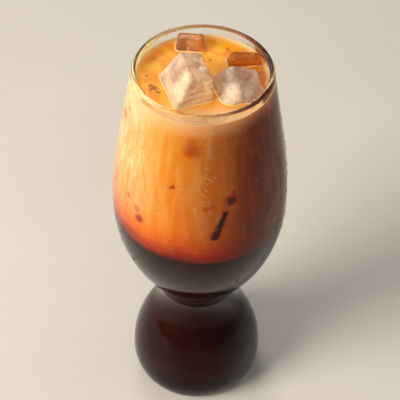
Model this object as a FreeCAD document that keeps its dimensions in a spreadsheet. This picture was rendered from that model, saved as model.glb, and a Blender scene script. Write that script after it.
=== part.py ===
import FreeCAD, Part
import math
import os
import Sketcher

# Thai iced tea in a gourd-shaped glass: dark brewed tea below, orange milk tea above,
# and four blocks of melting ice that stand out of the surface.  Millimetres, +Z up.
# The origin is in the middle of the foot, on the surface that the glass stands on.

doc = FreeCAD.newDocument("thai_iced_tea")

# ---------------------------------------------------------------- driving sizes
SIZES = {
    # outside of the glass, from the lip down
    "glass_height": 195.7,
    "lip_radius": 30.2,
    "upper_rise": 33.0,
    "belly_radius": 40.0,
    "belly_height": 119.3,
    "belly_curve": 78.8,
    "waist_curve": 24.0,
    "bulb_curve": 54.4,
    "bulb_radius": 32.3,
    "bulb_height": 11.85,
    "foot_radius": 28.75,
    # its wall, floor and foot
    "wall": 2.3,
    "lip_round": 1.0,
    "floor_height": 9.0,
    "floor_round": 12.0,
    "punt_radius": 22.0,
    "punt_rise": 1.6,
    "foot_round": 1.5,
    # the drink
    "tea_level": 116.0,
    "below_lip": 5.7,
    # the ice: clearance to the wall, and between the two front blocks at their upper faces
    "ice_clearance": 0.8,
    "ice_apart": 9.8,
}

# Each block of ice: the width and depth of its upper face and its height, the draft of its
# sides across and in depth, how far its edges have melted round, how high the middle of its
# upper face stands above the drink, and how it is turned about the upright axis, its depth
# and its width.  A block with a "way" has drifted in that direction until it meets the wall.
ICE = {
    "ice_right": {
        "size": (14.0, 17.0, 13.0), "draft": (20.0, 5.0), "melt": 3.2,
        "lift": 4.8, "turn": (20.0, 24.0, 18.0), "way": -18.8,
    },
    "ice_centre": {
        "size": (10.5, 17.5, 18.0), "draft": (15.0, 12.0), "melt": 1.8,
        "lift": 12.0, "turn": (18.5, 15.6, 0.6), "forward": 4.8,
    },
    "ice_back_left": {
        "size": (11.0, 6.5, 17.0), "draft": (10.0, 10.0), "melt": 1.8,
        "lift": 5.2, "turn": (-2.0, 0.0, -4.0), "way": 104.4,
    },
    "ice_back_right": {
        "size": (13.0, 4.5, 15.0), "draft": (6.0, 6.0), "melt": 1.2,
        "lift": 5.4, "turn": (9.4, 8.6, 18.0), "way": 28.0,
    },
}
DRINK_LEVEL = SIZES["glass_height"] - SIZES["below_lip"]

sheet = doc.addObject("Spreadsheet::Sheet", "sizes")
sheet_row = 0


def add_size(name, value):
    """One named size: its name in column A, its value in column B."""
    global sheet_row
    sheet_row += 1
    sheet.set("A%d" % sheet_row, name)
    sheet.set("B%d" % sheet_row, str(value))
    sheet.setAlias("B%d" % sheet_row, name)


for size_name, size_value in SIZES.items():
    add_size(size_name, size_value)
for ice_name, ice in ICE.items():
    for part_name, value in zip(("width", "depth", "tall"), ice["size"]):
        add_size(ice_name + "_" + part_name, value)
    for part_name, value in zip(("draft_across", "draft_deep"), ice["draft"]):
        add_size(ice_name + "_" + part_name, value)
    add_size(ice_name + "_melt", ice["melt"])
    add_size(ice_name + "_lift", ice["lift"])
doc.recompute()


# ---------------------------------------------------------------- sketch helpers
def vector(x, y):
    return FreeCAD.Vector(x, y, 0)


def origin_plane(body, role):
    return next(f for f in body.Origin.OriginFeatures if f.Role == role)


def new_sketch(body, name, role):
    sketch = body.newObject("Sketcher::SketchObject", name)
    sketch.AttachmentSupport = [(origin_plane(body, role), "")]
    sketch.MapMode = "FlatFace"
    return sketch


def arc(sketch, centre, radius, start, end):
    """Arc drawn anticlockwise between two angles, in radians."""
    circle = Part.Circle(vector(*centre), FreeCAD.Vector(0, 0, 1), radius)
    return sketch.addGeometry(Part.ArcOfCircle(circle, start, end), False)


def line(sketch, start, end):
    return sketch.addGeometry(Part.LineSegment(vector(*start), vector(*end)), False)


def bind(sketch, kind, formula, *where):
    """Dimension that follows the sheet.  `where` are the constraint's elements."""
    index = sketch.addConstraint(Sketcher.Constraint(kind, *where))
    sketch.setExpression("Constraints[%d]" % index, formula)


def polar(centre, radius, angle):
    return (centre[0] + radius * math.cos(angle), centre[1] + radius * math.sin(angle))


START, END, CENTRE = 1, 2, 3
ORIGIN = (-1, 1)


def wall_lean(rise):
    """Angle of the straight wall: an arc of this rise leaves the belly upright and meets it.

    With u = tan(lean / 2), the wall comes in by rise * u + (reach - rise) * 2u / (1 - u^2).
    """
    inward = SIZES["belly_radius"] - SIZES["lip_radius"]
    straight = SIZES["glass_height"] - SIZES["belly_height"] - rise
    low, high = 0.0, 0.99
    for _ in range(60):
        u = (low + high) / 2
        if rise * u + straight * 2 * u / (1 - u * u) < inward:
            low = u
        else:
            high = u
    return 2 * math.atan(low)


def side_curves(inset):
    """Centres, radii and joint angles of the glass side, moved inwards by `inset`.

    The bulb and the belly curve outwards, the waist curves inwards and touches both.
    """
    s = SIZES
    lean = wall_lean(s["upper_rise"])
    upper_radius = s["upper_rise"] / math.sin(lean)
    bulb = (s["bulb_radius"] - s["bulb_curve"], s["bulb_height"])
    belly = (s["belly_radius"] - s["belly_curve"], s["belly_height"])
    upper = (s["belly_radius"] - inset - upper_radius, s["belly_height"])
    to_bulb = s["bulb_curve"] + s["waist_curve"]
    to_belly = s["belly_curve"] + s["waist_curve"]
    apart = math.dist(bulb, belly)
    along = (to_bulb ** 2 - to_belly ** 2 + apart ** 2) / (2 * apart)
    out = math.sqrt(to_bulb ** 2 - along ** 2)
    way = ((belly[0] - bulb[0]) / apart, (belly[1] - bulb[1]) / apart)
    waist = (bulb[0] + along * way[0] + out * way[1], bulb[1] + along * way[1] - out * way[0])
    return {
        "bulb": bulb, "belly": belly, "upper": upper, "waist": waist,
        "lip": (s["lip_radius"] - inset, s["glass_height"]),
        "bulb_radius": s["bulb_curve"] - inset,
        "belly_radius": s["belly_curve"] - inset,
        "upper_radius": upper_radius,
        "waist_radius": s["waist_curve"] + inset,
        "bulb_angle": math.atan2(waist[1] - bulb[1], waist[0] - bulb[0]),
        "belly_angle": math.atan2(waist[1] - belly[1], waist[0] - belly[0]),
        "lean": lean,
    }


def draw_side(sketch, inset, lowest_angle):
    """Lip, wall, belly, waist and bulb as one smooth chain.  Returns the bulb's arc.

    The chain stands on the surface of the glass (inset "0") or of the drink space ("wall").
    """
    amount = SIZES["wall"] if inset == "wall" else 0.0
    less = " - sizes.wall" if inset == "wall" else ""
    more = " + sizes.wall" if inset == "wall" else ""
    side = side_curves(amount)
    wall_start = polar(side["upper"], side["upper_radius"], side["lean"])
    axis_top = (0.0, SIZES["glass_height"])

    top = line(sketch, axis_top, side["lip"])
    wall = line(sketch, side["lip"], wall_start)
    upper = arc(sketch, side["upper"], side["upper_radius"], 0.0, side["lean"])
    belly = arc(sketch, side["belly"], side["belly_radius"], side["belly_angle"], 0.0)
    waist = arc(sketch, side["waist"], side["waist_radius"],
                side["belly_angle"] + math.pi, side["bulb_angle"] + math.pi)
    bulb = arc(sketch, side["bulb"], side["bulb_radius"], lowest_angle, side["bulb_angle"])

    sketch.addConstraint(Sketcher.Constraint("Horizontal", top))
    sketch.addConstraint(Sketcher.Constraint("PointOnObject", top, START, -2))
    sketch.addConstraint(Sketcher.Constraint("Coincident", top, END, wall, START))
    sketch.addConstraint(Sketcher.Constraint("Tangent", wall, END, upper, END))
    sketch.addConstraint(Sketcher.Constraint("Tangent", upper, START, belly, END))
    sketch.addConstraint(Sketcher.Constraint("Tangent", belly, START, waist, START))
    sketch.addConstraint(Sketcher.Constraint("Tangent", waist, END, bulb, END))

    bind(sketch, "DistanceX", "sizes.lip_radius" + less, *ORIGIN, top, END, side["lip"][0])
    bind(sketch, "DistanceY", "sizes.glass_height", *ORIGIN, top, END, side["lip"][1])
    bind(sketch, "DistanceY", "sizes.belly_height + sizes.upper_rise", *ORIGIN, upper, END, wall_start[1])
    bind(sketch, "DistanceY", "sizes.belly_height", *ORIGIN, upper, CENTRE, side["upper"][1])
    bind(sketch, "DistanceX", "sizes.belly_radius" + less, *ORIGIN, upper, START,
         SIZES["belly_radius"] - amount)
    bind(sketch, "DistanceY", "sizes.belly_height", *ORIGIN, upper, START, side["belly"][1])
    bind(sketch, "Radius", "sizes.belly_curve" + less, belly, side["belly_radius"])
    bind(sketch, "Radius", "sizes.waist_curve" + more, waist, side["waist_radius"])
    bind(sketch, "Radius", "sizes.bulb_curve" + less, bulb, side["bulb_radius"])
    bind(sketch, "DistanceX", "sizes.bulb_curve - sizes.bulb_radius", bulb, CENTRE, *ORIGIN,
         -side["bulb"][0])
    bind(sketch, "DistanceY", "sizes.bulb_height", *ORIGIN, bulb, CENTRE, side["bulb"][1])
    return top, bulb


def draw_outside(sketch):
    """Outline of the solid glass: side, foot and the shallow punt under it."""
    s = SIZES
    top, bulb = draw_side(sketch, "0", 0.0)
    flare = s["bulb_radius"] - s["foot_radius"]
    foot_curve = (s["bulb_height"] ** 2 + flare ** 2) / (2 * flare)
    foot_centre = (s["bulb_radius"] - foot_curve, s["bulb_height"])
    punt_curve = (s["punt_radius"] ** 2 + s["punt_rise"] ** 2) / (2 * s["punt_rise"])
    punt_centre = (0.0, s["punt_rise"] - punt_curve)
    foot_angle = -math.asin(s["bulb_height"] / foot_curve)
    punt_angle = math.atan2(-punt_centre[1], s["punt_radius"])

    foot = arc(sketch, foot_centre, foot_curve, foot_angle, 0.0)
    ring = line(sketch, (s["foot_radius"], 0.0), (s["punt_radius"], 0.0))
    punt = arc(sketch, punt_centre, punt_curve, punt_angle, math.pi / 2)
    axis = line(sketch, (0.0, s["punt_rise"]), (0.0, s["glass_height"]))

    sketch.addConstraint(Sketcher.Constraint("Tangent", bulb, START, foot, END))
    sketch.addConstraint(Sketcher.Constraint("Coincident", foot, START, ring, START))
    sketch.addConstraint(Sketcher.Constraint("Coincident", ring, END, punt, START))
    sketch.addConstraint(Sketcher.Constraint("Coincident", punt, END, axis, START))
    sketch.addConstraint(Sketcher.Constraint("Coincident", axis, END, top, START))
    sketch.addConstraint(Sketcher.Constraint("PointOnObject", ring, START, -1))
    sketch.addConstraint(Sketcher.Constraint("PointOnObject", ring, END, -1))
    sketch.addConstraint(Sketcher.Constraint("PointOnObject", punt, END, -2))
    sketch.addConstraint(Sketcher.Constraint("PointOnObject", punt, CENTRE, -2))
    bind(sketch, "DistanceY", "sizes.bulb_height", *ORIGIN, foot, CENTRE, s["bulb_height"])
    bind(sketch, "DistanceX", "sizes.foot_radius", *ORIGIN, ring, START, s["foot_radius"])
    bind(sketch, "DistanceX", "sizes.punt_radius", *ORIGIN, ring, END, s["punt_radius"])
    bind(sketch, "DistanceY", "sizes.punt_rise", *ORIGIN, punt, END, s["punt_rise"])


def draw_inside(sketch):
    """Outline of the space for the drink, with a round corner at the thick floor."""
    s = SIZES
    side = side_curves(s["wall"])
    corner_height = s["floor_height"] + s["floor_round"]
    reach = side["bulb_radius"] - s["floor_round"]
    lift = corner_height - s["bulb_height"]
    corner = (side["bulb"][0] + math.sqrt(reach ** 2 - lift ** 2), corner_height)
    corner_angle = math.atan2(lift, corner[0] - side["bulb"][0])

    top, bulb = draw_side(sketch, "wall", corner_angle)
    bend = arc(sketch, corner, s["floor_round"], -math.pi / 2, corner_angle)
    floor = line(sketch, (corner[0], s["floor_height"]), (0.0, s["floor_height"]))
    axis = line(sketch, (0.0, s["floor_height"]), (0.0, s["glass_height"]))

    sketch.addConstraint(Sketcher.Constraint("Tangent", bulb, START, bend, END))
    sketch.addConstraint(Sketcher.Constraint("Tangent", bend, START, floor, START))
    sketch.addConstraint(Sketcher.Constraint("Horizontal", floor))
    sketch.addConstraint(Sketcher.Constraint("PointOnObject", floor, END, -2))
    sketch.addConstraint(Sketcher.Constraint("Coincident", floor, END, axis, START))
    sketch.addConstraint(Sketcher.Constraint("Coincident", axis, END, top, START))
    bind(sketch, "Radius", "sizes.floor_round", bend, s["floor_round"])
    bind(sketch, "DistanceY", "sizes.floor_height", *ORIGIN, floor, END, s["floor_height"])


def turned(body, kind, name, draw):
    """Revolution or groove of a drawn outline, a full turn about the upright axis."""
    sketch = new_sketch(body, name + "_outline", "XZ_Plane")
    draw(sketch)
    feature = body.newObject("PartDesign::" + kind, name)
    feature.Profile = sketch
    feature.ReferenceAxis = (sketch, ["V_Axis"])
    feature.Angle = 360.0
    doc.recompute()
    return feature


def ring_edges(feature, radius, height, slack=0.05):
    """Names of the round edges at one height and radius."""
    names = []
    for number, edge in enumerate(feature.Shape.Edges, start=1):
        box = edge.BoundBox
        level = box.ZLength < slack and abs(box.ZMin - height) < slack
        if level and abs(box.XMax - radius) < slack:
            names.append("Edge%d" % number)
    return names


# ---------------------------------------------------------------- the glass
def make_glass():
    """Clear gourd-shaped glass with a thick floor, a shallow punt and a fire-polished lip."""
    body = doc.addObject("PartDesign::Body", "glass")
    solid = turned(body, "Revolution", "glass_solid", draw_outside)
    hollow = turned(body, "Groove", "glass_hollow", draw_inside)
    if hollow.Shape.Volume > 0.8 * solid.Shape.Volume:
        raise RuntimeError("the hollow of the glass cuts nothing")
    top = SIZES["glass_height"]
    inner_lip = ring_edges(hollow, SIZES["lip_radius"] - SIZES["wall"], top)
    outer_lip = ring_edges(hollow, SIZES["lip_radius"], top)
    lip = body.newObject("PartDesign::Fillet", "lip")
    lip.Base = (hollow, inner_lip + outer_lip)
    lip.setExpression("Radius", "sizes.lip_round")
    doc.recompute()
    foot = body.newObject("PartDesign::Fillet", "foot_edge")
    foot.Base = (lip, ring_edges(lip, SIZES["foot_radius"], 0.0))
    foot.setExpression("Radius", "sizes.foot_round")
    body.Tip = foot
    return body


# ---------------------------------------------------------------- the ice
def rectangle(sketch, width_formula, depth_formula, width, depth):
    """Rectangle about the origin, with both sides bound to the sheet."""
    x, y = width / 2, depth / 2
    corners = [(-x, -y), (x, -y), (x, y), (-x, y)]
    sides = [line(sketch, corners[i], corners[(i + 1) % 4]) for i in range(4)]
    for i in range(4):
        sketch.addConstraint(Sketcher.Constraint("Coincident", sides[i], END, sides[(i + 1) % 4], START))
    for i in (0, 2):
        sketch.addConstraint(Sketcher.Constraint("Horizontal", sides[i]))
    for i in (1, 3):
        sketch.addConstraint(Sketcher.Constraint("Vertical", sides[i]))
    sketch.addConstraint(Sketcher.Constraint("Symmetric", sides[0], START, sides[2], START, *ORIGIN))
    bind(sketch, "DistanceX", width_formula, sides[0], START, sides[0], END, width)
    bind(sketch, "DistanceY", depth_formula, sides[1], START, sides[1], END, depth)


def spread(tall, draft):
    """How much wider a drafted block is at its lower face than at its upper one."""
    return 2 * tall * math.tan(math.radians(draft))


def ice_corners(name):
    """Middles of the block's round corners, turned, about the middle of its upper face."""
    ice = ICE[name]
    width, depth, tall = ice["size"]
    melt = ice["melt"]
    rotation = FreeCAD.Rotation(*ice["turn"])
    corners = []
    for drop in (melt, tall - melt):
        half_width = width / 2 + drop * math.tan(math.radians(ice["draft"][0])) - melt
        half_depth = depth / 2 + drop * math.tan(math.radians(ice["draft"][1])) - melt
        for x in (-half_width, half_width):
            for y in (-half_depth, half_depth):
                corners.append(rotation.multVec(FreeCAD.Vector(x, y, -drop)))
    return corners


def space_radius(height):
    """Inside radius of the glass at a height above its belly."""
    side = side_curves(SIZES["wall"])
    up = height - side["upper"][1]
    if up < SIZES["upper_rise"]:
        return side["upper"][0] + math.sqrt(side["upper_radius"] ** 2 - up ** 2)
    below = max(0.0, SIZES["glass_height"] - height)
    return side["lip"][0] + below * math.tan(side["lean"])


def drift_to_wall(name):
    """How far the block can drift from the middle before a corner meets the wall."""
    ice = ICE[name]
    way = math.radians(ice["way"])
    farthest = SIZES["belly_radius"]
    for corner in ice_corners(name):
        room = space_radius(DRINK_LEVEL + ice["lift"] + corner.z)
        room -= ice["melt"] + SIZES["ice_clearance"]
        forwards = corner.x * math.cos(way) + corner.y * math.sin(way)
        sideways = corner.y * math.cos(way) - corner.x * math.sin(way)
        farthest = min(farthest, math.sqrt(room ** 2 - sideways ** 2) - forwards)
    return farthest


def ice_place(name):
    """Place of a block's upper face: drifted to the wall, or beside the right-hand block."""
    ice = ICE[name]
    if "way" in ice:
        way = math.radians(ice["way"])
        drift = drift_to_wall(name)
        return drift * math.cos(way), drift * math.sin(way)
    right_across = ice_place("ice_right")[0]
    half_widths = (ICE["ice_right"]["size"][0] + ice["size"][0]) / 2
    return right_across - half_widths - SIZES["ice_apart"], -ice["forward"]


def make_ice(name):
    """Moulded block with drafted sides, its edges melted round, at its place in the drink."""
    ice = ICE[name]
    width, depth, tall = ice["size"]
    draft_across, draft_deep = ice["draft"]
    cell = "sizes." + name
    wider = "{0}_width + 2 * {0}_tall * tan({0}_draft_across * 1deg)".format(cell)
    deeper = "{0}_depth + 2 * {0}_tall * tan({0}_draft_deep * 1deg)".format(cell)
    body = doc.addObject("PartDesign::Body", name)
    upper = new_sketch(body, name + "_upper_face", "XY_Plane")
    rectangle(upper, cell + "_width", cell + "_depth", width, depth)
    lower = new_sketch(body, name + "_lower_face", "XY_Plane")
    rectangle(lower, wider, deeper, width + spread(tall, draft_across), depth + spread(tall, draft_deep))
    lower.setExpression(".AttachmentOffset.Base.z", "-" + cell + "_tall")
    doc.recompute()
    block = body.newObject("PartDesign::AdditiveLoft", name + "_block")
    block.Profile = upper
    block.Sections = [lower]
    block.Ruled = True
    doc.recompute()
    melted = body.newObject("PartDesign::Fillet", name + "_melted")
    melted.Base = (block, ["Edge%d" % (i + 1) for i in range(len(block.Shape.Edges))])
    melted.setExpression("Radius", cell + "_melt")
    body.Tip = melted
    across, back = ice_place(name)
    body.Placement = FreeCAD.Placement(FreeCAD.Vector(across, back, 0), FreeCAD.Rotation(*ice["turn"]))
    height = "sizes.glass_height - sizes.below_lip + %s_lift" % cell
    body.setExpression(".Placement.Base.z", height)
    return body


# ---------------------------------------------------------------- the drink
def slab(name, bottom_formula, top_formula):
    """Flat disc wider than the glass, which cuts one layer out of the drink space."""
    disc = doc.addObject("Part::Cylinder", name)
    disc.setExpression("Radius", "sizes.belly_radius")
    disc.setExpression("Height", "%s - %s" % (top_formula, bottom_formula))
    disc.setExpression(".Placement.Base.z", bottom_formula)
    return disc


def common(name, first, second):
    shared = doc.addObject("Part::Common", name)
    shared.Base = first
    shared.Tool = second
    return shared


def make_drink(ice_bodies):
    """Two layers that fill the glass to their levels.  The upper one is cut round the ice."""
    space = doc.addObject("PartDesign::Body", "drink_space")
    turned(space, "Revolution", "drink_space_solid", draw_inside)
    tea_slab = slab("tea_slab", "0 * sizes.tea_level", "sizes.tea_level")
    tea = common("tea_layer", space, tea_slab)
    milk_slab = slab("milk_slab", "sizes.tea_level", "sizes.glass_height - sizes.below_lip")
    milk_fill = common("milk_fill", space, milk_slab)
    all_ice = doc.addObject("Part::Compound", "all_ice")
    all_ice.Links = ice_bodies
    milk = doc.addObject("Part::Cut", "milk_layer")
    milk.Base = milk_fill
    milk.Tool = all_ice
    return [tea, milk]


glass = make_glass()
ice_bodies = [make_ice(name) for name in ICE]
layers = make_drink(ice_bodies)
doc.recompute()

# ---------------------------------------------------------------- check and write
for item in doc.Objects:
    if "Invalid" in item.State or "Error" in item.State:
        raise RuntimeError("%s did not recompute: %s" % (item.Name, item.State))
os.makedirs("parts", exist_ok=True)
for node in [glass] + layers + ice_bodies:
    node.Label = node.Name
    shape = node.Shape
    if shape.isNull() or not shape.isValid() or len(shape.Solids) != 1:
        raise RuntimeError("%s is not one valid solid" % node.Label)
    shape.exportStep(os.path.join("parts", node.Label + ".step"))
    box = shape.optimalBoundingBox()
    print("%-16s %9.1f mm3  z %.2f to %.2f" % (node.Label, shape.Volume, box.ZMin, box.ZMax))
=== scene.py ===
import bmesh
import bpy
import math
import random
from mathutils import Matrix, Vector, noise


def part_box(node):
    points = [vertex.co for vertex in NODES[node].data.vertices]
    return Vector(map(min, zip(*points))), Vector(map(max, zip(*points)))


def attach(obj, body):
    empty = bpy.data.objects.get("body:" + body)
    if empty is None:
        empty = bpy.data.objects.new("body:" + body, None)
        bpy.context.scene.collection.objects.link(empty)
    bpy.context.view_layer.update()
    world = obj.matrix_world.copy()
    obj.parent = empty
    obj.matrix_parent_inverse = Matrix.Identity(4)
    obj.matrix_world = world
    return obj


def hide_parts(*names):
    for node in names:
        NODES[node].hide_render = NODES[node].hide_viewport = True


# Thai iced tea: a gourd-shaped glass, black tea below, orange milk tea above, melting ice,
# and a cold glass that has started to sweat.  Lengths in the tables are millimetres.

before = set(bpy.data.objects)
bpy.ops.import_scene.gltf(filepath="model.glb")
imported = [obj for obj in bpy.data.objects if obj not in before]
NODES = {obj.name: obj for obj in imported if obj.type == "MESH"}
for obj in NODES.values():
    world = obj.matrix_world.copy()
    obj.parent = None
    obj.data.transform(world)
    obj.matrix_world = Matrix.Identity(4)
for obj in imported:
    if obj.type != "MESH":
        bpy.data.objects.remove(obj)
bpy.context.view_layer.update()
MM = 0.001

GLASS_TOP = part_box("glass")[1].z / MM
BELLY_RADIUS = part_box("glass")[1].x / MM
TEA_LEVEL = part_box("tea_layer")[1].z / MM
DRINK_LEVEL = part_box("milk_layer")[1].z / MM
FLOOR_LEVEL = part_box("tea_layer")[0].z / MM
WALL = 2.3
INTO_WALL = 0.25
TURN_STEPS = 144


# ---------------------------------------------------------------- tools
def srgb(code):
    """Linear colour from an sRGB hex code."""
    values = [int(code[i:i + 2], 16) / 255 for i in (1, 3, 5)]
    return [v / 12.92 if v <= 0.04045 else ((v + 0.055) / 1.055) ** 2.4 for v in values] + [1.0]


def add(tree, kind, inputs=None, stops=None, **settings):
    """One node with its settings, its colour stops, and its inputs as values or links."""
    made = tree.nodes.new(kind)
    for name, value in settings.items():
        setattr(made, name, value)
    if stops:
        ramp = made.color_ramp.elements
        while len(ramp) < len(stops):
            ramp.new(0.5)
        for element, (place, code) in zip(ramp, stops):
            element.position = place
            element.color = srgb(code)
    fill(tree, made, inputs or {})
    return made


def fill(tree, made, inputs):
    """Inputs of a node: a socket is linked, anything else is set on the input itself."""
    for socket, value in inputs.items():
        if isinstance(value, bpy.types.NodeSocket):
            tree.links.new(value, made.inputs[socket])
        else:
            made.inputs[socket].default_value = value


def new_material(name):
    """Node material with an output, a Principled shader, and the piece's own coordinates in
    millimetres, in which all patterns are given."""
    material = bpy.data.materials.new(name)
    material.use_nodes = True
    tree = material.node_tree
    tree.nodes.clear()
    output = add(tree, "ShaderNodeOutputMaterial")
    shader = add(tree, "ShaderNodeBsdfPrincipled")
    tree.links.new(shader.outputs[0], output.inputs[0])
    place = add(tree, "ShaderNodeTexCoord")
    scaled = add(tree, "ShaderNodeMapping", {"Vector": place.outputs["Object"],
                                             "Scale": (1 / MM, 1 / MM, 1 / MM)})
    return material, tree, shader, scaled.outputs[0]


def clear_selection():
    """Deselects everything."""
    for thing in bpy.context.selected_objects:
        thing.select_set(False)


def choose(piece):
    """Makes one piece the only one selected, and the active one."""
    clear_selection()
    piece.select_set(True)
    bpy.context.view_layer.objects.active = piece


def apply_modifier(piece, kind, **settings):
    """Adds one modifier, applies it at once."""
    choose(piece)
    modifier = piece.modifiers.new(kind.lower(), kind)
    for name, value in settings.items():
        setattr(modifier, name, value)
    bpy.ops.object.modifier_apply(modifier=modifier.name)


def arc(centre, radius, first, last, steps):
    """Points on an arc, from the first angle to the last."""
    turns = [first + (last - first) * i / steps for i in range(steps + 1)]
    return [(centre[0] + radius * math.cos(t), centre[1] + radius * math.sin(t)) for t in turns]


def turned(name, outline):
    """Outline of (radius, height) points drawn by extruding one vertex, then spun full circle."""
    clear_selection()
    bpy.ops.mesh.primitive_plane_add(size=MM)
    piece = bpy.context.object
    piece.name = name
    bpy.ops.object.mode_set(mode="EDIT")
    bpy.ops.mesh.select_mode(type="VERT")
    mesh = bmesh.from_edit_mesh(piece.data)
    mesh.verts.ensure_lookup_table()
    for vertex in mesh.verts:
        vertex.select_set(vertex.index != 0)
    mesh.select_flush(False)
    bmesh.update_edit_mesh(piece.data)
    bpy.ops.mesh.delete(type="VERT")
    bpy.ops.mesh.select_all(action="SELECT")
    here = (-MM / 2, -MM / 2, 0.0)
    radius, height = outline[0]
    bpy.ops.transform.translate(value=(radius * MM - here[0], -here[1], height * MM))
    for (r0, z0), (r1, z1) in zip(outline, outline[1:]):
        bpy.ops.mesh.extrude_region_move(
            TRANSFORM_OT_translate={"value": ((r1 - r0) * MM, 0.0, (z1 - z0) * MM)})
    bpy.ops.mesh.select_all(action="SELECT")
    bpy.ops.mesh.spin(steps=TURN_STEPS, angle=2 * math.pi, center=(0, 0, 0), axis=(0, 0, 1))
    bpy.ops.mesh.select_all(action="SELECT")
    bpy.ops.mesh.remove_doubles(threshold=0.00001)
    bpy.ops.mesh.normals_make_consistent(inside=False)
    bpy.ops.object.mode_set(mode="OBJECT")
    return piece


def smooth(piece, degrees):
    """Shades smooth, except at edges sharper than an angle."""
    choose(piece)
    bpy.ops.object.shade_smooth_by_angle(angle=math.radians(degrees))


def ball(segments, rings, stretch):
    """Small round seed piece, 1 mm in radius before its stretch, to be copied many times."""
    clear_selection()
    bpy.ops.mesh.primitive_uv_sphere_add(segments=segments, ring_count=rings, radius=MM)
    piece = bpy.context.object
    bpy.ops.object.mode_set(mode="EDIT")
    bpy.ops.mesh.select_all(action="SELECT")
    bpy.ops.transform.resize(value=stretch)
    bpy.ops.object.mode_set(mode="OBJECT")
    return piece


def placed_copy(piece, transform):
    """Copy of a piece with its own mesh, moved to its place within that mesh."""
    copy = piece.copy()
    copy.data = piece.data.copy()
    copy.data.transform(transform)
    bpy.context.scene.collection.objects.link(copy)
    return copy


def joined(name, seed_piece, copies):
    """One piece out of many copies; the seed piece is removed."""
    bpy.data.objects.remove(seed_piece)
    clear_selection()
    for copy in copies:
        copy.select_set(True)
    bpy.context.view_layer.objects.active = copies[0]
    bpy.ops.object.join()
    piece = copies[0]
    piece.name = name
    smooth(piece, 80)
    return piece


# ---------------------------------------------------------------- camera
CAMERA_TARGET = Vector((0.00013, 0.0, 0.1162))
CAMERA_PLACE = Vector((0.00013, -0.41400, 0.55040))
CAMERA_ROLL = math.radians(1.44)
CAMERA_LENS = 116.64


def set_camera():
    """Camera that looks down on the glass, with a slight roll to the left."""
    target, place, roll = CAMERA_TARGET, CAMERA_PLACE, CAMERA_ROLL
    forward = (target - place).normalized()
    level = Vector((1, 0, 0))
    upright = level.cross(forward)
    right = level * math.cos(roll) + upright * math.sin(roll)
    up = upright * math.cos(roll) - level * math.sin(roll)
    bpy.ops.object.camera_add(location=place)
    camera = bpy.context.object
    camera.matrix_world = Matrix((
        (right.x, up.x, -forward.x, place.x),
        (right.y, up.y, -forward.y, place.y),
        (right.z, up.z, -forward.z, place.z),
        (0, 0, 0, 1)))
    camera.data.lens = CAMERA_LENS
    camera.data.sensor_width = 36.0
    camera.data.clip_start = 0.01
    bpy.context.scene.camera = camera


set_camera()


# ---------------------------------------------------------------- the glass
LIP_RADIUS = 30.2
UPPER_RISE = 33.0
BELLY_HEIGHT = 119.3
BELLY_CURVE = 78.8
WAIST_CURVE = 24.0
BULB_CURVE = 54.4
BULB_RADIUS = 32.3
BULB_HEIGHT = 11.85
FOOT_RADIUS = 28.75
FLOOR_ROUND = 12.0
PUNT_RADIUS = 22.0
PUNT_RISE = 1.6
LIP_ROUND = 1.0
FOOT_ROUND = 1.4
PUNT_ROUND = 0.8


def glass_side(inset):
    """Side of the glass from lip to bulb, moved inwards by inset, as arcs that touch."""
    inward = BELLY_RADIUS - LIP_RADIUS
    straight = GLASS_TOP - BELLY_HEIGHT - UPPER_RISE
    low, high = 0.0, 0.99
    for _ in range(60):
        u = (low + high) / 2
        if UPPER_RISE * u + straight * 2 * u / (1 - u * u) < inward:
            low = u
        else:
            high = u
    lean = 2 * math.atan(low)
    upper_radius = UPPER_RISE / math.sin(lean)
    bulb = (BULB_RADIUS - BULB_CURVE, BULB_HEIGHT)
    belly = (BELLY_RADIUS - BELLY_CURVE, BELLY_HEIGHT)
    upper = (BELLY_RADIUS - inset - upper_radius, BELLY_HEIGHT)
    to_bulb = BULB_CURVE + WAIST_CURVE
    to_belly = BELLY_CURVE + WAIST_CURVE
    apart = math.dist(bulb, belly)
    along = (to_bulb ** 2 - to_belly ** 2 + apart ** 2) / (2 * apart)
    out = math.sqrt(to_bulb ** 2 - along ** 2)
    way = ((belly[0] - bulb[0]) / apart, (belly[1] - bulb[1]) / apart)
    waist = (bulb[0] + along * way[0] + out * way[1], bulb[1] + along * way[1] - out * way[0])
    to_waist_low = math.atan2(waist[1] - bulb[1], waist[0] - bulb[0])
    to_waist_high = math.atan2(waist[1] - belly[1], waist[0] - belly[0])
    lowest = 0.0
    if inset > 0:
        reach = BULB_CURVE - inset - FLOOR_ROUND
        lift = FLOOR_LEVEL + FLOOR_ROUND - BULB_HEIGHT
        lowest = math.asin(lift / reach)
    points = [(LIP_RADIUS - inset, GLASS_TOP)]
    points += arc(upper, upper_radius, lean, 0.0, 10)
    points += arc(belly, BELLY_CURVE - inset, 0.0, to_waist_high, 22)[1:]
    points += arc(waist, WAIST_CURVE + inset, to_waist_high + math.pi,
                  to_waist_low + math.pi, 16)[1:]
    points += arc(bulb, BULB_CURVE - inset, to_waist_low, lowest, 14)[1:]
    return points


def inner_floor(inset):
    """Round corner and flat floor of the drink space, from the bulb to the axis."""
    reach = BULB_CURVE - inset - FLOOR_ROUND
    lift = FLOOR_LEVEL + FLOOR_ROUND - BULB_HEIGHT
    corner = (BULB_RADIUS - BULB_CURVE + math.sqrt(reach ** 2 - lift ** 2),
              FLOOR_LEVEL + FLOOR_ROUND)
    bend = math.asin(lift / reach)
    return arc(corner, FLOOR_ROUND, bend, -math.pi / 2, 10)[1:] + [
        (corner[0] * 0.5, FLOOR_LEVEL), (0.0, FLOOR_LEVEL)]


def radius_at(side, height):
    """Radius of a side at one height."""
    for (r0, z0), (r1, z1) in zip(side, side[1:]):
        if z1 <= height <= z0:
            return r0 + (r1 - r0) * (z0 - height) / (z0 - z1)
    return side[0][0]


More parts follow.
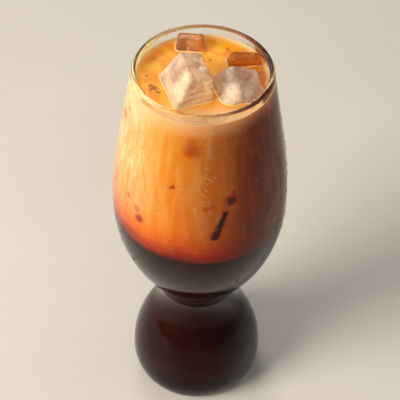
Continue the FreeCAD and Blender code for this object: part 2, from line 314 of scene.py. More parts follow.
def bevel_ring(piece, height, radius, width, segments):
    """Rounds the edges that lie on one ring, found by its height and radius."""
    choose(piece)
    bpy.ops.object.mode_set(mode="EDIT")
    bpy.ops.mesh.select_mode(type="EDGE")
    bpy.ops.mesh.select_all(action="DESELECT")
    mesh = bmesh.from_edit_mesh(piece.data)
    for edge in mesh.edges:
        on_ring = all(abs(v.co.z - height * MM) < 0.02 * MM
                      and abs(math.hypot(v.co.x, v.co.y) - radius * MM) < 0.06 * MM
                      for v in edge.verts)
        edge.select_set(on_ring)
    mesh.select_flush(False)
    bmesh.update_edit_mesh(piece.data)
    bpy.ops.mesh.bevel(offset=width * MM, segments=segments, profile=0.5)
    bpy.ops.object.mode_set(mode="OBJECT")


OUTER = glass_side(0.0)
INNER = glass_side(WALL)


def make_glass():
    """Blown glass: side, foot, shallow punt, thick floor and a fire-polished lip."""
    flare = BULB_RADIUS - FOOT_RADIUS
    foot_curve = (BULB_HEIGHT ** 2 + flare ** 2) / (2 * flare)
    foot_centre = (BULB_RADIUS - foot_curve, BULB_HEIGHT)
    foot = arc(foot_centre, foot_curve, 0.0, -math.asin(BULB_HEIGHT / foot_curve), 8)
    punt_curve = (PUNT_RADIUS ** 2 + PUNT_RISE ** 2) / (2 * PUNT_RISE)
    punt_centre = (0.0, PUNT_RISE - punt_curve)
    punt = arc(punt_centre, punt_curve, math.atan2(-punt_centre[1], PUNT_RADIUS), math.pi / 2, 6)
    outside = OUTER + foot[1:] + punt
    inside = INNER + inner_floor(WALL)
    outline = outside[::-1] + inside
    glass = turned("glass_wall", outline)
    bevel_ring(glass, GLASS_TOP, LIP_RADIUS, LIP_ROUND, 5)
    bevel_ring(glass, GLASS_TOP, LIP_RADIUS - WALL, LIP_ROUND, 5)
    bevel_ring(glass, 0.0, FOOT_RADIUS, FOOT_ROUND, 5)
    bevel_ring(glass, 0.0, PUNT_RADIUS, PUNT_ROUND, 3)
    smooth(glass, 60)
    return glass


# ---------------------------------------------------------------- the drink
MENISCUS_HEIGHT = 1.1
MENISCUS_WIDTH = 3.4


def make_tea():
    """Black tea from the floor of the glass to where the milk tea begins."""
    whole = glass_side(WALL - INTO_WALL)
    side = [p for p in whole if p[1] < TEA_LEVEL]
    top = radius_at(whole, TEA_LEVEL)
    floor = [(r + 0.1 if r > 0 else 0.0, z - INTO_WALL) for r, z in inner_floor(WALL)]
    outline = [(0.0, TEA_LEVEL), (top * 0.5, TEA_LEVEL), (top, TEA_LEVEL)] + side + floor
    tea = turned("black_tea", outline)
    smooth(tea, 40)
    return tea


def make_milk():
    """Milk tea from the tea to the surface, which climbs the wall in a small meniscus."""
    whole = glass_side(WALL - INTO_WALL)
    rim = radius_at(whole, DRINK_LEVEL + MENISCUS_HEIGHT)
    climb = [(rim - MENISCUS_WIDTH + MENISCUS_WIDTH * t, DRINK_LEVEL + MENISCUS_HEIGHT * t ** 2.4)
             for t in [i / 8 for i in range(9)]]
    surface = [(r, DRINK_LEVEL) for r in range(0, 25, 2)]
    side = [p for p in whole if TEA_LEVEL < p[1] < DRINK_LEVEL]
    heights = [DRINK_LEVEL - 4.0 * i for i in range(1, 9)]
    straight = [(radius_at(whole, z), z) for z in heights if z > side[0][1] + 1.0]
    low = radius_at(whole, TEA_LEVEL)
    outline = surface + climb + straight + side + [
        (low, TEA_LEVEL), (low * 0.5, TEA_LEVEL), (0.0, TEA_LEVEL)]
    return turned("milk_tea", outline)


# ---------------------------------------------------------------- the ice
# look of each block: colour of the clear ice, colour of its clouds, how much of it is cloudy
ICE = {
    "ice_centre": ("#fffbf2", "#ffdda6", 0.60),
    "ice_right": ("#fffbf4", "#ffe2c0", 0.52),
    "ice_back_left": ("#f8b87e", "#e49450", 0.32),
    "ice_back_right": ("#ffaa50", "#fa8424", 0.36),
}


MELT_GRAIN = 0.4
ICE_CLEAR_OF_WALL = 0.35
HOLLOW_GAP = 0.12


def make_ice(node, number):
    """Melting block: the block's own shape, place and size, remeshed, softened and rippled."""
    source = NODES[node]
    block = source.copy()
    block.data = source.data.copy()
    block.parent = None
    for key in list(block.keys()):
        del block[key]
    bpy.context.scene.collection.objects.link(block)
    block.name = node + "_melting"
    apply_modifier(block, "WELD", merge_threshold=0.00002)
    apply_modifier(block, "REMESH", mode="VOXEL", voxel_size=MELT_GRAIN * MM)
    apply_modifier(block, "SMOOTH", factor=0.5, iterations=2)
    seed = Vector((number * 7.3, 2.1, 5.7))
    middle = sum((v.co for v in block.data.vertices), Vector()) / len(block.data.vertices)
    for vertex in block.data.vertices:
        before = vertex.co / MM
        swell = 0.22 * noise.noise(before / 6.5 + seed) + 0.12 * noise.noise(before / 2.3 + seed)
        out = (vertex.co - middle).normalized()
        after = (vertex.co + out * swell * MM) / MM
        reach = math.hypot(after.x, after.y)
        room = radius_at(INNER, min(after.z, GLASS_TOP)) - ICE_CLEAR_OF_WALL
        if reach > room:
            after.x *= room / reach
            after.y *= room / reach
        vertex.co = after * MM
    smooth(block, 60)
    return block


def cut_for_ice(milk, blocks):
    """Hollows in the milk tea where the blocks float, a hair smaller than the blocks."""
    for block in blocks:
        cutter = placed_copy(block, Matrix())
        middle = sum((v.co for v in cutter.data.vertices), Vector()) / len(cutter.data.vertices)
        for vertex in cutter.data.vertices:
            vertex.co -= (vertex.co - middle).normalized() * HOLLOW_GAP * MM
        apply_modifier(milk, "BOOLEAN", operation="DIFFERENCE", object=cutter, solver="EXACT")
        bpy.data.objects.remove(cutter)
    # slivers that the cuts leave are merged away, so that the mesh stays closed
    choose(milk)
    bpy.ops.object.mode_set(mode="EDIT")
    bpy.ops.mesh.select_mode(type="VERT")
    bpy.ops.mesh.select_all(action="SELECT")
    bpy.ops.mesh.remove_doubles(threshold=0.00002)
    bpy.ops.mesh.quads_convert_to_tris()
    bpy.ops.mesh.select_all(action="SELECT")
    bpy.ops.mesh.dissolve_degenerate(threshold=0.00001)
    bpy.ops.object.mode_set(mode="OBJECT")


# ---------------------------------------------------------------- materials
def glass_material():
    """Soda-lime glass, blown in a mould and fire-polished: clear and colourless, with a
    faint wave that bends what is seen through it."""
    material, tree, shader, point = new_material("soda_lime_glass_blown")
    wave = add(tree, "ShaderNodeTexNoise", {"Vector": point, "Scale": 1 / 14,
                                            "Detail": 1.0})
    bump = add(tree, "ShaderNodeBump", {"Height": wave.outputs[0], "Strength": 0.25,
                                        "Distance": 0.12 * MM})
    fill(tree, shader, {
        "Base Color": srgb("#fefdfb"), "Roughness": 0.0, "Transmission Weight": 1.0, "IOR": 1.45,
        "Specular Tint": (0.3, 0.3, 0.3, 1), "Normal": bump.outputs[0]})
    return material


def tea_material():
    """Strong black tea: nearly opaque, dark red-brown in soft patches."""
    material, tree, shader, point = new_material("black_tea_strong")
    cloud = add(tree, "ShaderNodeTexNoise", {"Vector": point, "Scale": 1 / 22,
                                             "Detail": 3.0})
    ramp = add(tree, "ShaderNodeValToRGB", {0: cloud.outputs[0]},
               stops=[(0.3, "#1e0502"), (0.75, "#340b04")])
    fill(tree, shader, {
        "Base Color": ramp.outputs[0], "Roughness": 0.6, "Specular IOR Level": 0.0})
    return material


def spot_mask(tree, point, fray, spots, falloff):
    """Strength of the strongest of several frayed spots, each given as its middle, how far its
    outline frays, the radius where it starts to fade, its full radius, and its strength."""
    total = None
    for middle, frayed, core, edge, strength in spots:
        away = add(tree, "ShaderNodeVectorMath", {0: point, 1: middle}, operation="DISTANCE")
        ragged = add(tree, "ShaderNodeMath", {0: fray, 1: frayed, 2: away.outputs["Value"]},
                     operation="MULTIPLY_ADD")
        spot = add(tree, "ShaderNodeMapRange", {0: ragged.outputs[0], 1: core, 2: edge,
                                                3: strength, 4: 0.0}, interpolation_type=falloff)
        if total is None:
            total = spot.outputs[0]
        else:
            total = add(tree, "ShaderNodeMath", {0: total, 1: spot.outputs[0]},
                        operation="MAXIMUM").outputs[0]
    return total


# angle round the glass from the front, height, radius and strength of the soft brown marks
# where sunk ice and tea touch the wall
MARKS = [
    (-6, 178.0, 5.4, 0.66), (-7, 182.0, 3.6, 0.50),
    (-19, 158.2, 1.5, 0.85), (-21, 157.6, 1.2, 0.75), (-43, 133.0, 3.6, 0.80),
    (-46, 138.0, 2.6, 0.50), (-55, 141.0, 1.8, 0.60),
    (22, 151.5, 4.4, 0.92), (24, 155.5, 2.0, 0.70), (4, 148.5, 2.2, 0.60),
    (8, 149.5, 1.8, 0.50), (-79, 175.0, 3.0, 0.60), (-72, 181.0, 1.8, 0.50),
    (50, 180.0, 4.5, 0.45), (57, 130.0, 6.5, 0.80), (63, 137.0, 5.0, 0.70), (40, 146.0, 6.0, 0.45),
    (110, 165.0, 4.6, 0.60), (150, 140.0, 4.0, 0.75), (175, 172.0, 3.6, 0.60),
    (-120, 150.0, 4.2, 0.70), (-150, 176.0, 3.8, 0.60), (-165, 134.0, 3.6, 0.70),
    (82, 143.0, 3.6, 0.70), (128, 133.0, 2.6, 0.80), (-100, 133.0, 2.4, 0.70),
]
MOST_FRAY = 1.5
# one long dark streak, as marks that overlap
STREAK_STEPS = 9
for step in range(STREAK_STEPS + 1):
    along = step / STREAK_STEPS
    MARKS.append((17.4 - 6.8 * along, 145.0 - 12.6 * along, 2.3 + 1.2 * along, 1.0))


def milk_side_material():
    """Milk tea against the glass: evaporated milk stirred into orange tea.  Paler at the top,
    redder where it meets the black tea, with upright wisps and brown marks of sunk ice, painted
    shade that makes it redder and darker towards the right, and a painted highlight on the left."""
    material, tree, shader, point = new_material("milk_tea_in_glass")
    axes = add(tree, "ShaderNodeSeparateXYZ", {0: point})
    drift = add(tree, "ShaderNodeTexNoise", {"Vector": point, "Scale": 1 / 16, "Detail": 3.0})
    sway = add(tree, "ShaderNodeMath", {0: drift.outputs[0], 1: -0.5}, operation="ADD")
    swung = add(tree, "ShaderNodeMath", {0: sway.outputs[0], 1: 9.0, 2: axes.outputs[2]},
                operation="MULTIPLY_ADD")
    # thin level sheets, a millimetre or two apart, where the two teas slide over each other
    level = add(tree, "ShaderNodeMapping", {"Vector": point, "Scale": (0.03, 0.03, 0.7)})
    sheets = add(tree, "ShaderNodeTexNoise", {"Vector": level.outputs[0], "Scale": 1.0,
                                              "Detail": 3.0, "Roughness": 0.65})
    sheet = add(tree, "ShaderNodeMath", {0: sheets.outputs[0], 1: -0.5}, operation="ADD")
    lift = add(tree, "ShaderNodeMath", {0: sheet.outputs[0], 1: 7.0, 2: swung.outputs[0]},
               operation="MULTIPLY_ADD")
    height = add(tree, "ShaderNodeMapRange", {0: lift.outputs[0], 1: TEA_LEVEL, 2: DRINK_LEVEL + 2})
    layers = add(tree, "ShaderNodeValToRGB", {0: height.outputs[0]}, stops=[
        (0.00, "#300802"), (0.03, "#7a1c06"), (0.07, "#b83a08"), (0.13, "#ea6c08"),
        (0.24, "#fa9412"), (0.50, "#fda61a"), (0.80, "#fdac24"), (0.89, "#fdb648"),
        (0.94, "#fdca84"), (1.00, "#fdd6a6")])
    # upright wisps, a few millimetres wide and several centimetres tall
    tall = add(tree, "ShaderNodeMapping", {"Vector": point, "Scale": (1.0, 1.0, 0.09)})
    wisp = add(tree, "ShaderNodeTexNoise", {"Vector": tall.outputs[0], "Scale": 1 / 4.0,
                                            "Detail": 4.0, "Roughness": 0.55})
    wisps = add(tree, "ShaderNodeMapRange", {0: wisp.outputs[0], 1: 0.42, 2: 0.66, 3: 0.0, 4: 0.5})
    # painted shade: the milk tea is made redder towards the right, away from the window lamp
    side = add(tree, "ShaderNodeMapRange", {0: axes.outputs[0], 1: -22.0, 2: 26.0, 3: 0.0, 4: 0.95})
    shade_eased_at_top = add(tree, "ShaderNodeMapRange", {0: axes.outputs[2], 1: 183.0, 2: 191.0, 3: 1.0,
                                               4: 0.45})
    right_shade = add(tree, "ShaderNodeMath", {0: side.outputs[0], 1: shade_eased_at_top.outputs[0]},
                 operation="MULTIPLY")
    redder = add(tree, "ShaderNodeMix", {0: right_shade.outputs[0], 6: layers.outputs[0],
                                         7: srgb("#a82200")}, data_type="RGBA")
    # painted shade: darker red still at the far right of the glass, a little less so at the top
    far = add(tree, "ShaderNodeMapRange", {0: axes.outputs[0], 1: 8.0, 2: 33.0, 3: 0.0, 4: 0.85})
    far_right_shade = add(tree, "ShaderNodeMath", {0: far.outputs[0], 1: shade_eased_at_top.outputs[0]},
                  operation="MULTIPLY")
    deeper = add(tree, "ShaderNodeMix", {0: far_right_shade.outputs[0], 6: redder.outputs[2],
                                         7: srgb("#5c1002")}, data_type="RGBA")
    # the cream wisps get the same painted shade towards the right
    cream = add(tree, "ShaderNodeMix", {0: right_shade.outputs[0], 6: srgb("#fdda76"),
                                        7: srgb("#c84404")}, data_type="RGBA")
    creamy = add(tree, "ShaderNodeMix", {0: wisps.outputs[0], 6: deeper.outputs[2],
                                         7: cream.outputs[2]}, data_type="RGBA")
    above = add(tree, "ShaderNodeMapRange", {0: axes.outputs[2], 1: 122.0, 2: 150.0})
    milky = add(tree, "ShaderNodeMix", {0: above.outputs[0], 6: deeper.outputs[2],
                                        7: creamy.outputs[2]}, data_type="RGBA")
    # painted highlight: pale cream in fine upright streaks on the left of the glass, towards the
    # window lamp
    streak = add(tree, "ShaderNodeMapping", {"Vector": point, "Scale": (1.0, 1.0, 0.05)})
    fine = add(tree, "ShaderNodeTexNoise", {"Vector": streak.outputs[0], "Scale": 1 / 1.6,
                                            "Detail": 3.0, "Roughness": 0.6})
    broad = add(tree, "ShaderNodeMapRange", {0: axes.outputs[0], 1: -14.0, 2: -30.0},
                interpolation_type="SMOOTHSTEP")
    high = add(tree, "ShaderNodeMapRange", {0: axes.outputs[2], 1: 128.0, 2: 158.0})
    thread = add(tree, "ShaderNodeMapRange", {0: fine.outputs[0], 1: 0.35, 2: 0.68, 3: 0.15,
                                              4: 1.0})
    left_highlight_band = add(tree, "ShaderNodeMath", {0: broad.outputs[0], 1: high.outputs[0]},
               operation="MULTIPLY")
    painted_highlight_streaks = add(tree, "ShaderNodeMath", {0: left_highlight_band.outputs[0], 1: thread.outputs[0]},
                   operation="MULTIPLY")
    highlighted = add(tree, "ShaderNodeMix", {0: painted_highlight_streaks.outputs[0], 6: milky.outputs[2],
                                         7: srgb("#fdeec4")}, data_type="RGBA")
    colour = highlighted.outputs[2]
    frayed = add(tree, "ShaderNodeTexNoise", {"Vector": point, "Scale": 1 / 3.0, "Detail": 3.0})
    edge = add(tree, "ShaderNodeMath", {0: frayed.outputs[0], 1: -0.5}, operation="ADD")
    spots = []
    for angle, mark_level, size, strength in MARKS:
        turn = math.radians(angle)
        radius = radius_at(INNER, mark_level)
        middle = (radius * math.sin(turn), -radius * math.cos(turn), mark_level)
        spots.append((middle, min(size * 0.9, MOST_FRAY), size * 0.30, size * 1.10, strength))
    total = spot_mask(tree, point, edge.outputs[0], spots, "SMOOTHSTEP")
    brown = add(tree, "ShaderNodeValToRGB", {0: total}, stops=[
        (0.45, "#c43c04"), (0.72, "#a82c04"), (0.88, "#701804"), (1.0, "#3c0a02")])
    marked = add(tree, "ShaderNodeMix", {0: total, 6: colour, 7: brown.outputs[0]},
                 data_type="RGBA")
    fill(tree, shader, {
        "Base Color": marked.outputs[2], "Subsurface Weight": 0.7,
        "Subsurface Radius": (1.0, 0.35, 0.08), "Subsurface Scale": 9.0 * MM, "Roughness": 0.6,
        "Specular IOR Level": 0.0})
    return material


# place and radius of the specks of tea that float on the surface
SPECKS = [
    (-20.3, -6.6, 2.0), (-22.0, -5.0, 1.2), (-18.4, -8.8, 1.1), (-24.0, 1.5, 0.7),
    (-12.0, 12.0, 0.8), (3.0, 12.5, 0.7), (10.5, 20.0, 1.0), (-4.0, -22.5, 0.7),
    (6.5, -22.0, 0.9), (20.5, -17.0, 0.8), (-21.0, 13.0, 0.6),
]


def milk_top_material():
    """Milk tea, open surface: wet and smooth, with pale cream swirls, fine froth at the wall
    and specks of tea, and painted shade that makes it redder towards the right."""
    material, tree, shader, point = new_material("milk_tea_surface")
    swirl = add(tree, "ShaderNodeTexNoise", {"Vector": point, "Scale": 1 / 11, "Detail": 4.0,
                                             "Distortion": 1.6})
    ramp = add(tree, "ShaderNodeValToRGB", {0: swirl.outputs[0]}, stops=[
        (0.30, "#f88408"), (0.46, "#ffa312"), (0.62, "#ffb622"), (0.78, "#fdcc5c")])
    axes = add(tree, "ShaderNodeSeparateXYZ", {0: point})
    # painted shade: the surface is made redder towards the right, away from the window lamp
    side = add(tree, "ShaderNodeMapRange", {0: axes.outputs[0], 1: 2.0, 2: 30.0, 3: 0.0, 4: 0.55},
               interpolation_type="SMOOTHSTEP")
    redder = add(tree, "ShaderNodeMix", {0: side.outputs[0], 6: ramp.outputs[0],
                                         7: srgb("#c65a14")}, data_type="RGBA")
    flat = add(tree, "ShaderNodeCombineXYZ", {0: axes.outputs[0], 1: axes.outputs[1]})
    radius = add(tree, "ShaderNodeVectorMath", {0: flat.outputs[0]}, operation="LENGTH")
    froth = add(tree, "ShaderNodeMapRange", {0: radius.outputs["Value"], 1: 26.5, 2: 28.6,
                                             3: 0.0, 4: 0.8})
    pale = add(tree, "ShaderNodeMix", {0: froth.outputs[0], 6: redder.outputs[2],
                                       7: srgb("#fbd3a0")}, data_type="RGBA")
    # cream drawn out in long thin curves along the near wall
    ahead = add(tree, "ShaderNodeMapRange", {0: axes.outputs[1], 1: -15.0, 2: -23.0, 3: 0.0,
                                             4: 0.85})
    curve = add(tree, "ShaderNodeTexNoise", {"Vector": point, "Scale": 1 / 18, "Detail": 1.0})
    bent = add(tree, "ShaderNodeMath", {0: curve.outputs[0], 1: 7.0, 2: radius.outputs["Value"]},
               operation="MULTIPLY_ADD")
    turns = add(tree, "ShaderNodeCombineXYZ", {0: bent.outputs[0]})
    drawn = add(tree, "ShaderNodeTexNoise", {"Vector": turns.outputs[0], "Scale": 0.9,
                                             "Detail": 3.0, "Roughness": 0.7})
    lines = add(tree, "ShaderNodeValToRGB", {0: drawn.outputs[0]}, stops=[
        (0.34, "#e8904a"), (0.46, "#fcc690"), (0.62, "#fedcb4")])
    drawn_out = add(tree, "ShaderNodeMix", {0: ahead.outputs[0], 6: pale.outputs[2],
                                            7: lines.outputs[0]}, data_type="RGBA")
    frayed = add(tree, "ShaderNodeTexNoise", {"Vector": point, "Scale": 1 / 1.4, "Detail": 2.0})
    edge = add(tree, "ShaderNodeMath", {0: frayed.outputs[0], 1: -0.5}, operation="ADD")
    spots = [((x, y, DRINK_LEVEL), size * 3.0, size * 0.5, size, 0.85) for x, y, size in SPECKS]
    total = spot_mask(tree, point, edge.outputs[0], spots, "LINEAR")
    specked = add(tree, "ShaderNodeMix", {0: total, 6: drawn_out.outputs[2],
                                          7: srgb("#9a3408")},
                  data_type="RGBA")
    fine = add(tree, "ShaderNodeTexVoronoi", {"Vector": point, "Scale": 1 / 1.1})
    bubble = add(tree, "ShaderNodeBump", {"Height": fine.outputs[0], "Strength": 0.25,
                                          "Distance": 0.15 * MM})
    fill(tree, shader, {
        "Base Color": specked.outputs[2], "Normal": bubble.outputs[0], "Subsurface Weight": 0.5,
        "Subsurface Radius": (1.0, 0.35, 0.08), "Subsurface Scale": 7.0 * MM, "Roughness": 0.2,
        "Specular IOR Level": 0.08})
    return material


def brightened_under_ice_material():
    """Milk tea round the sunk part of the ice, made paler and brighter as painted light."""
    material, tree, shader, point = new_material("milk_tea_under_ice_brightened")
    mixing = add(tree, "ShaderNodeTexNoise", {"Vector": point, "Scale": 1 / 6,
                                              "Detail": 2.0})
    ramp = add(tree, "ShaderNodeValToRGB", {0: mixing.outputs[0]}, stops=[
        (0.35, "#fdb848"), (0.65, "#ffe2a0")])
    fill(tree, shader, {
        "Base Color": ramp.outputs[0], "Roughness": 0.6, "Specular IOR Level": 0.0})
    return material


def ice_material(name, clear_colour, cloud_colour, cloudy):
    """Ice, frozen in a tray and half melted: clear and wet, with white clouds of trapped air
    and fine melt lines that run round it like contours."""
    material, tree, shader, point = new_material("ice_melting_" + name)
    cloud = add(tree, "ShaderNodeTexNoise", {"Vector": point, "Scale": 1 / 9.0, "Detail": 3.0,
                                             "Distortion": 0.4})
    mask = add(tree, "ShaderNodeMapRange", {0: cloud.outputs[0], 1: 0.50 - 0.3 * cloudy,
                                            2: 0.95 - 0.3 * cloudy})
    clear = add(tree, "ShaderNodeMapRange", {0: mask.outputs[0], 3: 0.88, 4: 0.88 - cloudy})
    colour = add(tree, "ShaderNodeMix", {0: mask.outputs[0], 6: srgb(clear_colour),
                                         7: srgb(cloud_colour)}, data_type="RGBA")
    ripple = add(tree, "ShaderNodeTexNoise", {"Vector": point, "Scale": 1 / 3.5, "Detail": 1.0,
                                              "Distortion": 1.0})
    line = add(tree, "ShaderNodeTexWave", {"Vector": point, "Scale": 1 / 8, "Distortion": 5.0,
                                           "Detail": 1.0, "Detail Scale": 0.08}, wave_type="RINGS",
               rings_direction="SPHERICAL")
    relief = add(tree, "ShaderNodeMath", {0: line.outputs[1], 1: 0.5, 2: ripple.outputs[0]},
                 operation="MULTIPLY_ADD")
    bump = add(tree, "ShaderNodeBump", {"Height": relief.outputs[0], "Strength": 0.7,
                                        "Distance": 0.7 * MM})
    groove = add(tree, "ShaderNodeMapRange", {0: line.outputs[1], 1: 0.14, 2: 0.0, 3: 0.0, 4: 0.35})
    lined = add(tree, "ShaderNodeMix", {0: groove.outputs[0], 6: colour.outputs[2],
                                        7: srgb("#f0b070")}, data_type="RGBA")
    fill(tree, shader, {
        "Base Color": lined.outputs[2], "Transmission Weight": clear.outputs[0],
        "Normal": bump.outputs[0], "Roughness": 0.02, "IOR": 1.31})
    return material


def water_material():
    """Dew: water in small clear drops."""
    material, tree, shader, point = new_material("water_dew")
    mist = add(tree, "ShaderNodeTexNoise", {"Vector": point, "Scale": 1 / 3})
    rough = add(tree, "ShaderNodeMapRange", {0: mist.outputs[0], 3: 0.0, 4: 0.08})
    fill(tree, shader, {
        "Roughness": rough.outputs[0], "Base Color": srgb("#ffffff"), "Transmission Weight": 1.0,
        "IOR": 1.33})
    return material


def air_material():
    """Air trapped in ice: tiny white bubbles and flat cracks that scatter the light."""
    material, tree, shader, point = new_material("trapped_air")
    mottle = add(tree, "ShaderNodeTexNoise", {"Vector": point, "Scale": 1 / 2})
    ramp = add(tree, "ShaderNodeValToRGB", {0: mottle.outputs[0]}, stops=[
        (0.3, "#fff4e4"), (0.7, "#ffffff")])
    fill(tree, shader, {
        "Base Color": ramp.outputs[0], "Roughness": 0.15})
    return material


# ---------------------------------------------------------------- trapped air
AIR_IN_BLOCK = 34
CRACKS_IN_BLOCK = 7


def make_air(block, number):
    """Cracks and bubbles inside one block, each a flat or round copy of one modelled bubble."""
    bubble = ball(8, 6, (1.0, 1.0, 0.8))
    chance = random.Random(40 + number)
    corners = [v.co for v in block.data.vertices]
    middle = sum(corners, Vector()) / len(corners)
    copies = []
    for index in range(AIR_IN_BLOCK):
        toward = corners[chance.randrange(len(corners))] - middle
        centre = middle + toward * (0.12 + 0.72 * chance.random() ** 0.8)
        spin = Matrix.Rotation(chance.uniform(0, math.pi), 4, "X") @ Matrix.Rotation(
            chance.uniform(0, math.pi), 4, "Z")
        if index < CRACKS_IN_BLOCK:
            size = chance.uniform(0.9, 2.2)
            shape = Matrix.Diagonal((size, size * chance.uniform(0.3, 0.8), 0.05, 1))
        else:
            size = 0.10 + 0.22 * chance.random() ** 2
            shape = Matrix.Diagonal((size, size, size, 1))
        copies.append(placed_copy(bubble, Matrix.Translation(centre) @ spin @ shape))
    return joined("air_in_" + block.name, bubble, copies)


# ---------------------------------------------------------------- froth
FROTH_RADIUS = 0.34


def make_froth_line(block):
    """Pale bead of froth where the drink climbs one block of ice."""
    bead = placed_copy(block, Matrix())
    bead.name = "froth_line_" + block.name
    choose(bead)
    bpy.ops.object.mode_set(mode="EDIT")
    bpy.ops.mesh.select_mode(type="VERT")
    bpy.ops.mesh.select_all(action="SELECT")
    bpy.ops.mesh.bisect(plane_co=(0, 0, (DRINK_LEVEL + 0.1) * MM), plane_no=(0, 0, 1),
                        clear_inner=True, clear_outer=True)
    bpy.ops.object.mode_set(mode="OBJECT")
    bpy.ops.object.convert(target="CURVE")
    bead = bpy.context.object
    bead.data.bevel_depth = FROTH_RADIUS * MM
    bead.data.bevel_resolution = 2
    bead.data.use_fill_caps = True
    bpy.ops.object.convert(target="MESH")
    bead = bpy.context.object
    bead.data.materials.clear()
    seed = Vector((1.7, 9.2, 3.3))
    for vertex in bead.data.vertices:
        place = vertex.co / MM
        vertex.co.z += 0.22 * noise.noise(place / 2.5 + seed) * MM
    smooth(bead, 80)
    return bead


def make_bubbles(count):
    """Small bubbles that gather on the surface along the wall and between the blocks."""
    dome = ball(10, 8, (1.0, 1.0, 0.7))
    chance = random.Random(5)
    copies = []
    while len(copies) < count:
        turn = chance.choice((-2.2, -0.9, 0.3, 1.9, 2.9)) + chance.gauss(0, 0.22)
        size = 0.20 + 0.3 * chance.random() ** 2
        reach = radius_at(INNER, DRINK_LEVEL) - 1.2 - size - chance.expovariate(1 / 1.1)
        centre = Vector((reach * math.sin(turn), -reach * math.cos(turn), DRINK_LEVEL + 0.1)) * MM
        copies.append(placed_copy(dome, Matrix.Translation(centre)
                                  @ Matrix.Diagonal((size, size, size, 1))))
    return joined("bubbles", dome, copies)


def froth_material():
    """Froth of milk tea: matt, creamy, mottled with the bubbles it is made of."""
    material, tree, shader, point = new_material("milk_froth")
    cells = add(tree, "ShaderNodeTexVoronoi", {"Vector": point, "Scale": 1 / 0.5})
    ramp = add(tree, "ShaderNodeValToRGB", {0: cells.outputs[0]}, stops=[
        (0.2, "#fdbe6c"), (0.8, "#fdd8a0")])
    fill(tree, shader, {
        "Base Color": ramp.outputs[0], "Roughness": 0.45, "Specular IOR Level": 0.2})
    return material


# ---------------------------------------------------------------- dew
def make_dew(count):
    """Small flat drops on the cold outside of the glass, each a copy of one modelled drop.
    Every eighth is one of a loose column that has started to run down the front."""
    drop = ball(8, 6, (0.5, 0.5, 0.30))
    chance = random.Random(11)
    copies = []
    while len(copies) < count:
        turn = chance.uniform(-math.pi, math.pi)
        level = chance.triangular(92, 192, 165)
        beaded = len(copies) % 8 == 0
        if beaded:
            turn = math.radians(chance.gauss(6, 5))
            level = chance.uniform(130, 189)
        radius = radius_at(OUTER, level)
        slope = (radius_at(OUTER, level + 0.5) - radius_at(OUTER, level - 0.5))
        away = Vector((math.sin(turn), -math.cos(turn), -slope)).normalized()
        centre = Vector((radius * math.sin(turn), -radius * math.cos(turn), level)) * MM
        size = 0.45 + 0.5 * chance.random() if beaded else 0.4 + 0.95 * chance.random() ** 3
        tall = 1.0 + 0.9 * chance.random() ** 2
        facing = away.to_track_quat("Z", "Y").to_matrix().to_4x4()
        copies.append(placed_copy(drop, Matrix.Translation(centre) @ facing
                                  @ Matrix.Diagonal((size, size * tall, size, 1))))
    return joined("dew", drop, copies)


# ---------------------------------------------------------------- assembly
def finish_piece(piece, material, slot, *nodes):
    """Gives a piece its material and its body, and hides the nodes that it stands for.
    Its slot is not used.
    """
    if material:
        piece.data.materials.clear()
        piece.data.materials.append(material)
    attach(piece, "root")
    if nodes:
        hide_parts(*nodes)


glass = make_glass()
tea = make_tea()
milk = make_milk()
ice_blocks = [make_ice(node, number) for number, node in enumerate(ICE)]
cut_for_ice(milk, ice_blocks)
smooth(milk, 35)
milk.data.materials.clear()
for finish in (milk_side_material(), milk_top_material(), brightened_under_ice_material()):
    milk.data.materials.append(finish)
AT_WALL, AT_TOP, UNDER_ICE = range(3)
for face in milk.data.polygons:
    face_level = face.center.z / MM
    reach = math.hypot(face.center.x, face.center.y) / MM
    if face_level > DRINK_LEVEL - 0.2:
        face.material_index = AT_TOP
    elif face_level > 165 and reach < radius_at(INNER, face_level) - 0.6:
        face.material_index = UNDER_ICE
    else:
        face.material_index = AT_WALL
finish_piece(milk, None, "milk_tea", "milk_layer")
finish_piece(tea, tea_material(), "dark_tea", "tea_layer")
finish_piece(glass, glass_material(), "glass", "glass")
for block, node in zip(ice_blocks, ICE):
    finish_piece(block, ice_material(node[4:], *ICE[node]), "ice", node)
air_finish = air_material()
for number, block in enumerate(ice_blocks):
    finish_piece(make_air(block, number), air_finish, "ice")
froth_finish = froth_material()
for block in ice_blocks:
    finish_piece(make_froth_line(block), froth_finish, "milk_tea")
finish_piece(make_bubbles(44), froth_finish, "milk_tea")
finish_piece(make_dew(1500), water_material(), "glass")


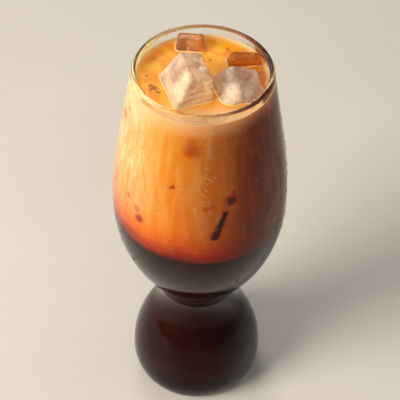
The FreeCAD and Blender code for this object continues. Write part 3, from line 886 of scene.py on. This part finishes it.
# ---------------------------------------------------------------- floor and light
def make_floor():
    """Pale matt table top, far larger than the glass."""
    clear_selection()
    bpy.ops.mesh.primitive_plane_add(size=6.0)
    floor = bpy.context.object
    floor.name = "table_top"
    bpy.ops.object.mode_set(mode="EDIT")
    bpy.ops.mesh.select_all(action="SELECT")
    bpy.ops.mesh.extrude_region_move(TRANSFORM_OT_translate={"value": (0, 0, -0.04)})
    bpy.ops.mesh.select_all(action="SELECT")
    bpy.ops.mesh.normals_make_consistent(inside=False)
    bpy.ops.object.mode_set(mode="OBJECT")
    material, tree, shader, point = new_material("matt_board")
    grain = add(tree, "ShaderNodeTexNoise", {"Vector": point, "Scale": 6.0 * MM, "Detail": 2.0})
    ramp = add(tree, "ShaderNodeValToRGB", {0: grain.outputs[0]},
               stops=[(0.3, "#cac5bd"), (0.7, "#d0cbc3")])
    fill(tree, shader, {
        "Base Color": ramp.outputs[0], "Roughness": 0.8, "Specular IOR Level": 0.2})
    floor.data.materials.append(material)


BEAM = 110


def add_light(name, place, width, tall, power, colour):
    """Soft upright lamp that looks at the middle of the glass, with a beam narrow enough to
    leave the floor beside it from burning white."""
    clear_selection()
    bpy.ops.object.light_add(type="AREA", location=place)
    lamp = bpy.context.object
    lamp.name = name
    lamp.data.shape = "RECTANGLE"
    lamp.data.size = width
    lamp.data.size_y = tall
    lamp.data.energy = power
    lamp.data.spread = math.radians(BEAM)
    lamp.data.color = srgb(colour)[:3]
    aim = Vector((0, 0, 0.12)) - Vector(place)
    lamp.rotation_euler = aim.to_track_quat("-Z", "Y").to_euler()


def make_light():
    """Large window at the front left, a small one behind, and a plain pale surround that looks
    brighter to the camera than the light it gives."""
    add_light("window", (-1.12, -0.63, 0.72), 0.75, 1.00, 13.8, "#fff6ea")
    add_light("back_window", (-0.30, 1.15, 1.05), 0.75, 0.75, 3.4, "#fffaf4")
    world = bpy.data.worlds.new("studio")
    bpy.context.scene.world = world
    world.use_nodes = True
    tree = world.node_tree
    tree.nodes.clear()
    path = add(tree, "ShaderNodeLightPath")
    seen = add(tree, "ShaderNodeMath", {0: path.outputs["Is Camera Ray"], 1: 0.4, 2: 0.34},
               operation="MULTIPLY_ADD")
    sky = add(tree, "ShaderNodeBackground", {0: srgb("#f4f2ee"), 1: seen.outputs[0]})
    output = add(tree, "ShaderNodeOutputWorld")
    tree.links.new(sky.outputs[0], output.inputs[0])


make_floor()
make_light()
scene = bpy.context.scene
scene.view_settings.view_transform = "Standard"
